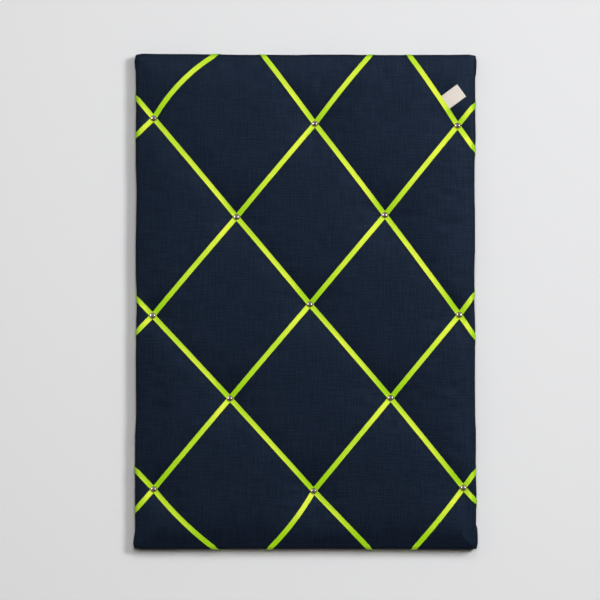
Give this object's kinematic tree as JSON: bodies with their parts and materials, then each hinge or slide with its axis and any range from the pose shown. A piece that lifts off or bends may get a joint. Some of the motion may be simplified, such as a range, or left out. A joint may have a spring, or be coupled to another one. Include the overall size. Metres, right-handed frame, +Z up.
{
  "type": "french memo board",
  "caption": "Padded linen memo board crossed by satin ribbons under domed nails, for tucking in notes and photos, with swinging D-ring hangers on its back.",
  "frame": {"origin": "middle of the board's outline, on the wall plane that the bumpers touch", "axes": "+Z up the board, +X to the right as the viewer sees its face, +Y into the wall"},
  "size_m": [0.4131, 0.028, 0.6018],
  "materials": {
    "linen": "matt plain-woven linen",
    "wadding": "soft polyester wadding",
    "fibreboard": "raw fibreboard",
    "hardboard": "smooth hardboard",
    "ribbon": "satin ribbon",
    "nickel": "polished nickel plate",
    "label": "plain woven tape",
    "zinc": "bright zinc plate",
    "felt": "dense felt"
  },
  "bodies": {
    "board": {"fabric_cover": "linen", "wadding": "wadding", "core_board": "fibreboard", "backing_sheet": "hardboard", "rising_ribbon_1": "ribbon", "rising_ribbon_2": "ribbon", "rising_ribbon_3": "ribbon", "rising_ribbon_4": "ribbon", "rising_ribbon_5": "ribbon", "falling_ribbon_1": "ribbon", "falling_ribbon_2": "ribbon", "falling_ribbon_3": "ribbon", "falling_ribbon_4": "ribbon", "falling_ribbon_5": "ribbon", "stud_01": "nickel", "stud_02": "nickel", "stud_03": "nickel", "stud_04": "nickel", "stud_05": "nickel", "stud_06": "nickel", "stud_07": "nickel", "stud_08": "nickel", "stud_09": "nickel", "stud_10": "nickel", "stud_11": "nickel", "stud_12": "nickel", "stud_13": "nickel", "tab_label": "label", "staple_01": "zinc", "staple_02": "zinc", "staple_03": "zinc", "staple_04": "zinc", "staple_05": "zinc", "staple_06": "zinc", "staple_07": "zinc", "staple_08": "zinc", "staple_09": "zinc", "staple_10": "zinc", "staple_11": "zinc", "staple_12": "zinc", "staple_13": "zinc", "staple_14": "zinc", "staple_15": "zinc", "staple_16": "zinc", "staple_17": "zinc", "staple_18": "zinc", "staple_19": "zinc", "staple_20": "zinc", "backing_pin_1": "zinc", "backing_pin_2": "zinc", "backing_pin_3": "zinc", "backing_pin_4": "zinc", "left_hanger_strap": "zinc", "left_hanger_screw": "zinc", "right_hanger_strap": "zinc", "right_hanger_screw": "zinc", "left_bumper": "felt", "right_bumper": "felt"},
    "left_ring": {"left_hanger_ring": "zinc"},
    "right_ring": {"right_hanger_ring": "zinc"}
  },
  "joints": [
    {"name": "left_ring_swing", "type": "hinge", "parent": "board", "child": "left_ring", "pos_m": [-0.1065, -0.0023, 0.156], "axis": [1, 0, 0], "range_deg": [0, 180]},
    {"name": "right_ring_swing", "type": "hinge", "parent": "board", "child": "right_ring", "pos_m": [0.1065, -0.0023, 0.156], "axis": [1, 0, 0], "range_deg": [0, 180]}
  ]
}
